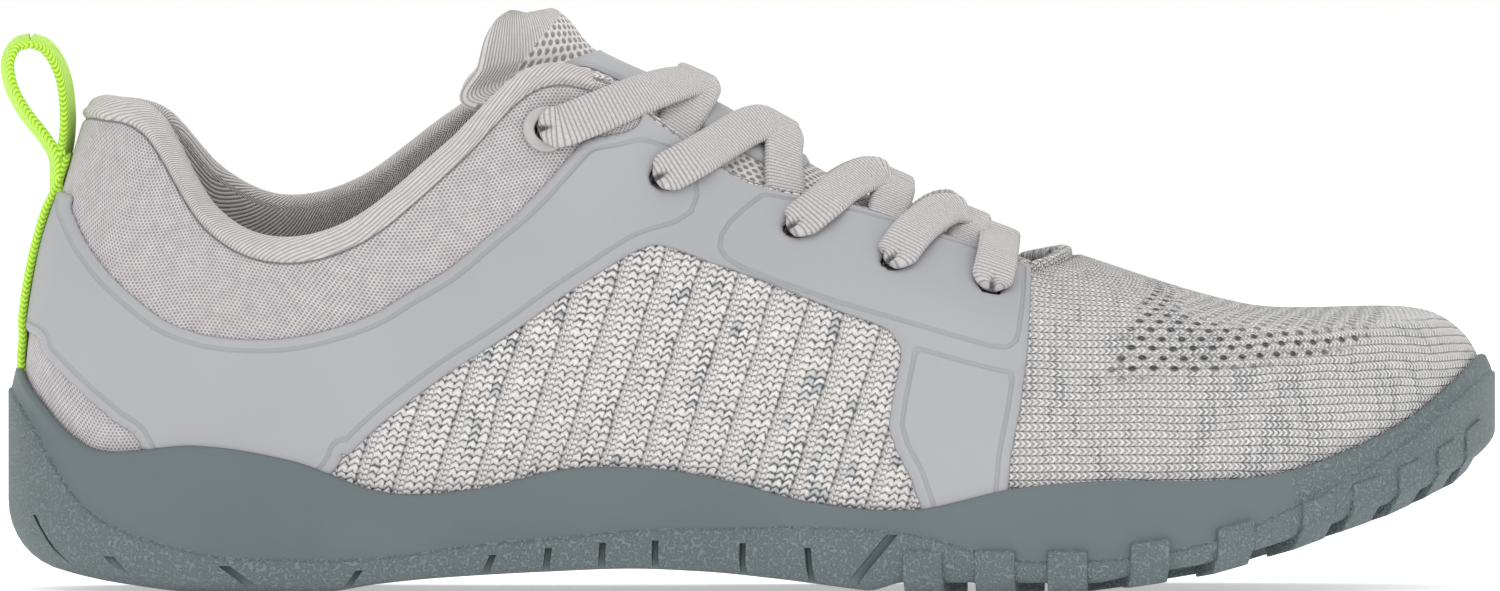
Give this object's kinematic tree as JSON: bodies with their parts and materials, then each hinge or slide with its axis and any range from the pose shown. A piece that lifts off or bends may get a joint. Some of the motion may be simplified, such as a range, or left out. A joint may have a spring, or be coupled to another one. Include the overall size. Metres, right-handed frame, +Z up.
{
  "type": "barefoot shoe",
  "caption": "Low barefoot running shoe for the right foot: knitted upper with a welded film cage, crossed flat lace, padded tongue, heel pull loop and a thin flexible lugged rubber sole.",
  "frame": {"origin": "middle of the box round the whole shoe, on the floor it stands on", "axes": "+X to the toe, +Y to the inner (big toe) side of the foot, +Z up"},
  "size_m": [0.2808, 0.1068, 0.1099],
  "materials": {
    "knit": "off-white and blue-grey knit",
    "film": "matte grey film",
    "rubber": "matte blue-grey, stippled at the tread",
    "foam": "grey fabric over foam",
    "tongue_fabric": "ribbed stretch lining and open mesh",
    "lace": "flat woven",
    "tape": "woven, bright yellow-green",
    "eyelet": "satin"
  },
  "bodies": {
    "root": {"upper": "knit", "cage": "film", "outsole": "rubber", "insole": "foam", "tongue": "tongue_fabric", "tongue_film": "film", "lace": "lace", "pull_loop": "tape", "eyelet_outer": "eyelet", "eyelet_inner": "eyelet"}
  },
  "joints": []
}
